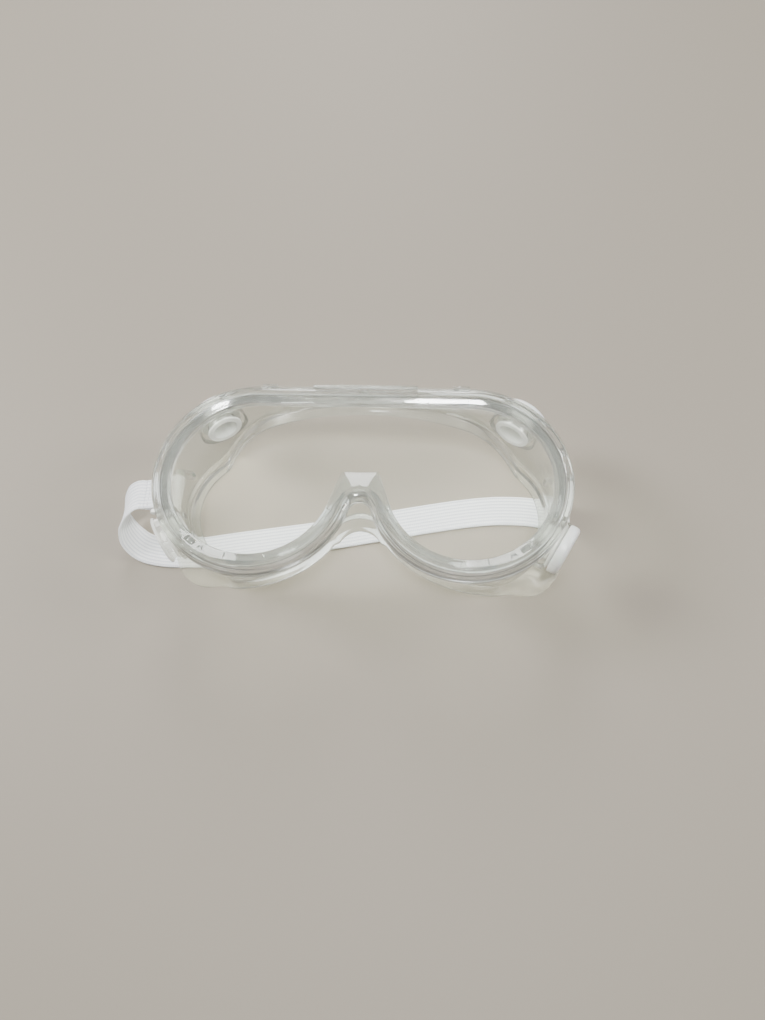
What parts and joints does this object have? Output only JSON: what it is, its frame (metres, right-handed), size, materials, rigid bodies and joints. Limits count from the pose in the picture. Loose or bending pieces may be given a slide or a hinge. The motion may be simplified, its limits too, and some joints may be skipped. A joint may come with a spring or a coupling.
{
  "type": "safety goggles",
  "caption": "Clear soft-frame safety goggles with a snap-in lens, side vents with white snap caps and an elastic headband.",
  "frame": {"origin": "middle of the goggles' footprint, at the plane that the temple edges of the face seal rest on", "axes": "+Z out through the lens, +Y to the forehead, +X to the right as seen from in front of the lens with the forehead up"},
  "size_m": [0.2046, 0.0879, 0.052],
  "materials": {
    "soft_pvc": "clear glossy soft PVC",
    "clear_rim": "clear moulded",
    "lens": "clear polished polycarbonate",
    "vent_seat": "milky clear moulded",
    "cap": "white glossy moulded",
    "clip": "clear moulded",
    "pin": "translucent moulded",
    "elastic": "white ribbed knitted elastic",
    "thread": "white sewing thread"
  },
  "bodies": {
    "frame": {"soft_frame": "soft_pvc", "front_rim": "clear_rim", "lens": "lens", "rim_latches": "clear_rim", "vent_seat_upper_left": "vent_seat", "vent_seat_upper_right": "vent_seat", "vent_seat_lower_left": "vent_seat", "vent_seat_lower_right": "vent_seat", "clip_pin_left": "pin", "clip_pin_right": "pin", "headband": "elastic"},
    "cap_upper_left": {"vent_cap_upper_left": "cap"},
    "cap_upper_right": {"vent_cap_upper_right": "cap"},
    "cap_lower_right": {"vent_cap_lower_right": "cap"},
    "clip_left": {"strap_clip_left": "clip", "strap_end_left": "elastic", "stitches_left": "thread"},
    "clip_right": {"strap_clip_right": "clip", "strap_end_right": "elastic", "stitches_right": "thread"}
  },
  "joints": [
    {"name": "cap_upper_left_pull", "type": "slide", "parent": "frame", "child": "cap_upper_left", "axis": [-0.5373, 0.8434, 0], "range_m": [0, 0.006]},
    {"name": "cap_upper_right_pull", "type": "slide", "parent": "frame", "child": "cap_upper_right", "axis": [0.5373, 0.8434, 0], "range_m": [0, 0.006]},
    {"name": "cap_lower_right_pull", "type": "slide", "parent": "frame", "child": "cap_lower_right", "axis": [0.866, -0.5, 0], "range_m": [0, 0.006]},
    {"name": "clip_left_turn", "type": "hinge", "parent": "frame", "child": "clip_left", "pos_m": [-0.087, 0.00079, 0.019], "axis": [0, 1, 0], "range_deg": [-35, 40]},
    {"name": "clip_right_turn", "type": "hinge", "parent": "frame", "child": "clip_right", "pos_m": [0.087, 0.00079, 0.019], "axis": [0, 1, 0], "range_deg": [-78, 5]}
  ]
}
